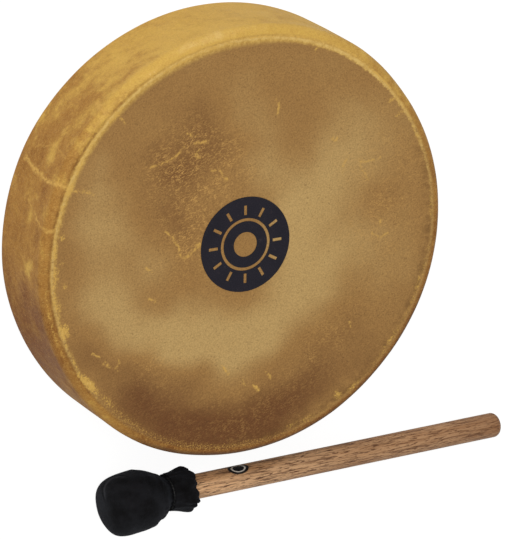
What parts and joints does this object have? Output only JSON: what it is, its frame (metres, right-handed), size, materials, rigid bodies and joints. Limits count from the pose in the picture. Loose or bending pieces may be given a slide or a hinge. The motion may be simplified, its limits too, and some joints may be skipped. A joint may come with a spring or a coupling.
{
  "type": "hoop drum",
  "caption": "Round single-headed hoop drum with laced hide, rear grip ring and a plain printed roundel, with a padded leather beater lying beside it.",
  "frame": {"origin": "on the drum's axis, at the plane of its rear rim, which is the floor it lies on", "axes": "+Z along the drum's axis out of the played head; +X along the beater from its ball towards its butt; +Y away from the beater"},
  "size_m": [0.402, 0.3809, 0.068],
  "materials": {
    "hoop_wood": "bentwood veneer, bare and lightly sanded",
    "goat_skin": "dried goat hide, mottled amber brown, semi-matt",
    "ink": "screen-printed near-black ink",
    "ring_steel": "plain welded ring, dull zinc",
    "rawhide_lace": "twisted rawhide, translucent amber",
    "handle_wood": "open-grained brown hardwood, oiled",
    "core_felt": "pressed felt",
    "suede": "black suede",
    "waxed_cord": "waxed black cord"
  },
  "bodies": {
    "drum": {"hoop_outer_ply": "hoop_wood", "hoop_core_ply": "hoop_wood", "hoop_inner_ply": "hoop_wood", "skin_head": "goat_skin", "head_roundel": "ink", "grip_ring": "ring_steel", "lace_1": "rawhide_lace", "lace_2": "rawhide_lace", "lace_3": "rawhide_lace", "lace_4": "rawhide_lace", "grip_wrap_1": "rawhide_lace", "grip_wrap_2": "rawhide_lace", "grip_wrap_3": "rawhide_lace", "grip_wrap_4": "rawhide_lace"},
    "beater": {"beater_handle": "handle_wood", "beater_core": "core_felt", "beater_cover": "suede", "beater_tie": "waxed_cord"}
  },
  "joints": [
    {"name": "beater_lift", "type": "slide", "parent": "drum", "child": "beater", "axis": [0, 0, 1], "range_m": [0, 0.3]}
  ]
}
